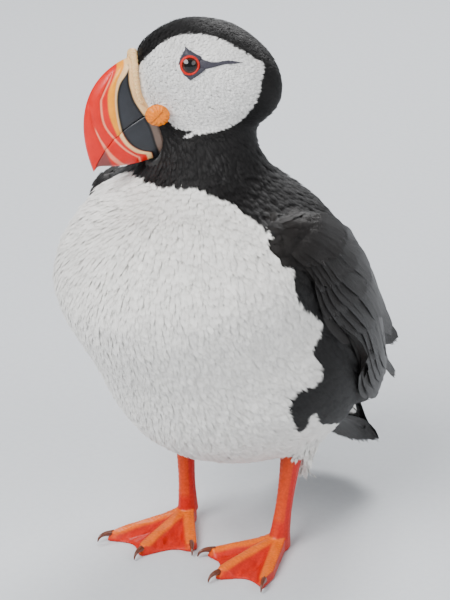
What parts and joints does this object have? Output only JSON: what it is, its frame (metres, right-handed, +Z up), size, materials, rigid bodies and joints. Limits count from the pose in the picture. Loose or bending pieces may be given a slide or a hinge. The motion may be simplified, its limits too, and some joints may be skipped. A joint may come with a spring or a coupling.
{
  "type": "atlantic puffin",
  "caption": "Upright black and white seabird with a deep banded bill, webbed feet and its head turned to one side, as a still life-size model.",
  "frame": {"origin": "on the ground, under the centre of the bird's box", "axes": "+Z up; the body faces -Y, with its left side towards +X; the head is turned 36 degrees to the bird's right"},
  "size_m": [0.1128, 0.173, 0.2188],
  "materials": {
    "black_plumage": "soft black contour feathers, faintly glossy on the back",
    "white_plumage": "soft silky white contour feathers",
    "bill_red": "horny plates, satin, red with paler grooves",
    "foot_orange": "scaled skin, satin, red to orange",
    "rosette_orange": "wrinkled fleshy skin",
    "eye_dark": "wet, clear and glossy",
    "claw_brown": "smooth horn, satin"
  },
  "bodies": {
    "root": {"head": "black_plumage", "neck": "black_plumage", "trunk": "white_plumage", "tail": "black_plumage", "wing_left": "black_plumage", "wing_right": "black_plumage", "bill_upper": "bill_red", "bill_lower": "bill_red", "eye_left": "eye_dark", "eye_right": "eye_dark", "rosette_left": "rosette_orange", "rosette_right": "rosette_orange", "leg_left": "foot_orange", "leg_right": "foot_orange", "foot_left": "foot_orange", "foot_right": "foot_orange", "claw_left_outer": "claw_brown", "claw_left_middle": "claw_brown", "claw_left_inner": "claw_brown", "claw_right_outer": "claw_brown", "claw_right_middle": "claw_brown", "claw_right_inner": "claw_brown"}
  },
  "joints": []
}
